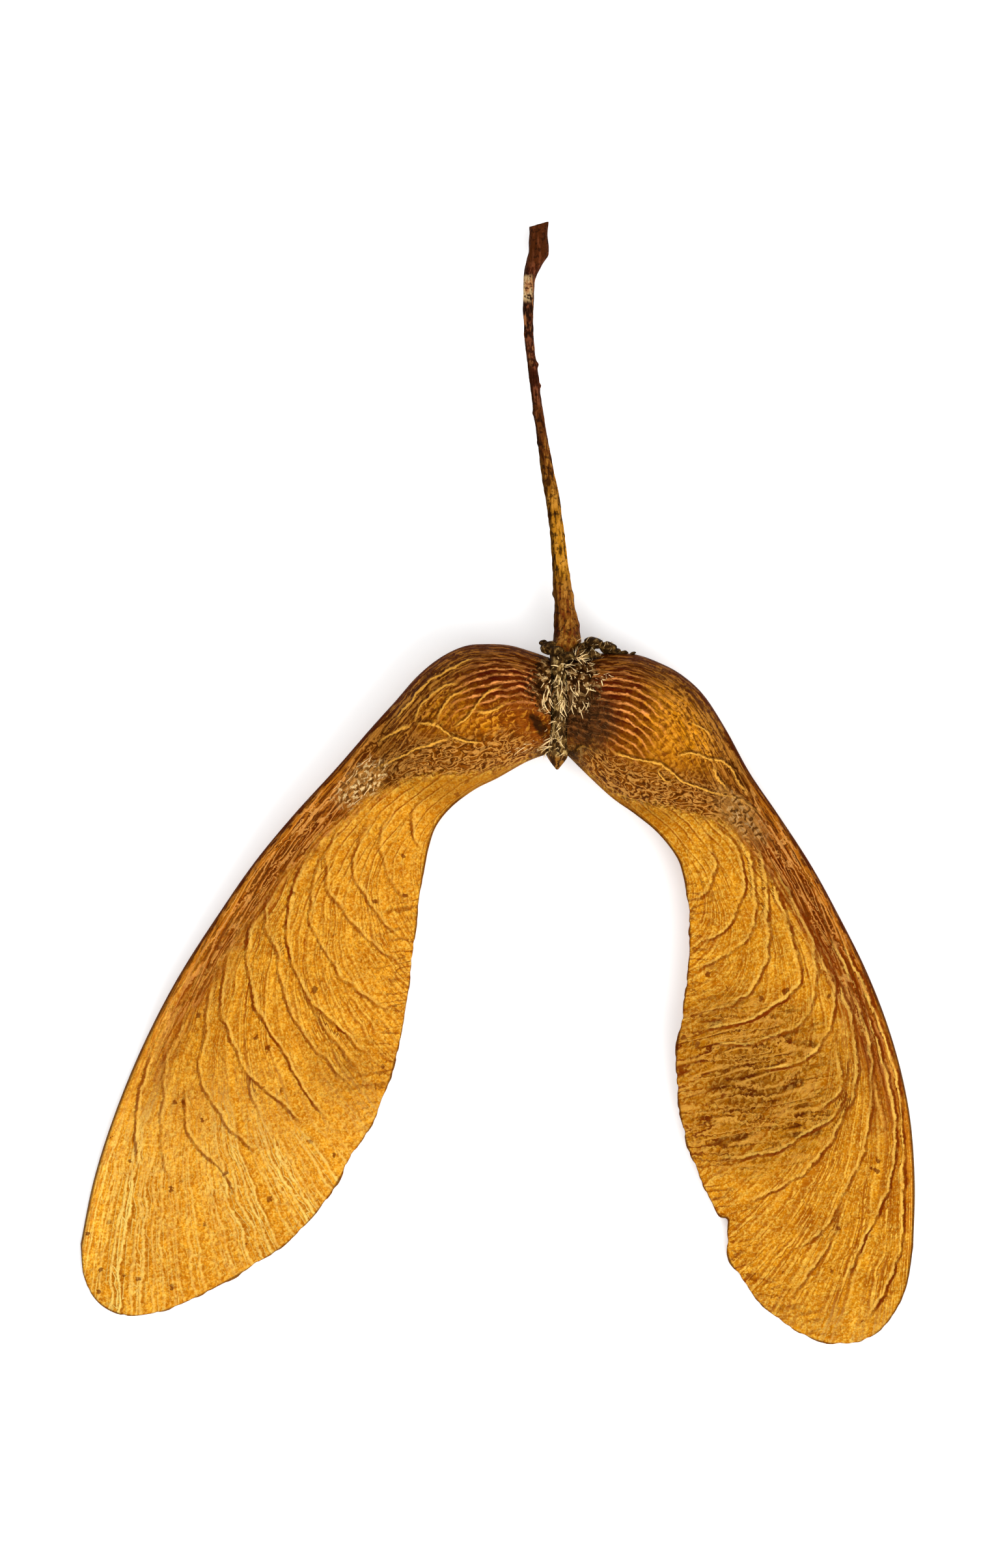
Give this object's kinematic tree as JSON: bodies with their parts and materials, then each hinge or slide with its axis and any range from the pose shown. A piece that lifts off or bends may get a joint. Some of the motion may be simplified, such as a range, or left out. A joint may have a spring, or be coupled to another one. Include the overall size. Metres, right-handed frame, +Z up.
{
  "type": "sycamore maple samara",
  "caption": "Dry double samara on its stalk, lying flat: two plump nutlets joined at a hairy seam, each with a thin veined papery wing sweeping down and outward.",
  "frame": {"origin": "on the surface that the pair lies on, under the middle of its bounding box", "axes": "+Z up from the surface, +Y along the stalk towards its cut end, +X to the right seen from above with the stalk pointing up"},
  "size_m": [0.039, 0.0524, 0.0049],
  "materials": {
    "left_wing_and_nutlet": "dry papery wing, golden orange and see-through, over a satin brown ribbed nutlet",
    "right_wing_and_nutlet": "dry papery wing, golden orange with an olive brown patch, over a satin brown ribbed nutlet",
    "stalk": "dry satin reddish brown, darker at the cut end"
  },
  "bodies": {
    "root": {"samara_left": "left_wing_and_nutlet", "samara_right": "right_wing_and_nutlet", "stalk": "stalk"}
  },
  "joints": []
}
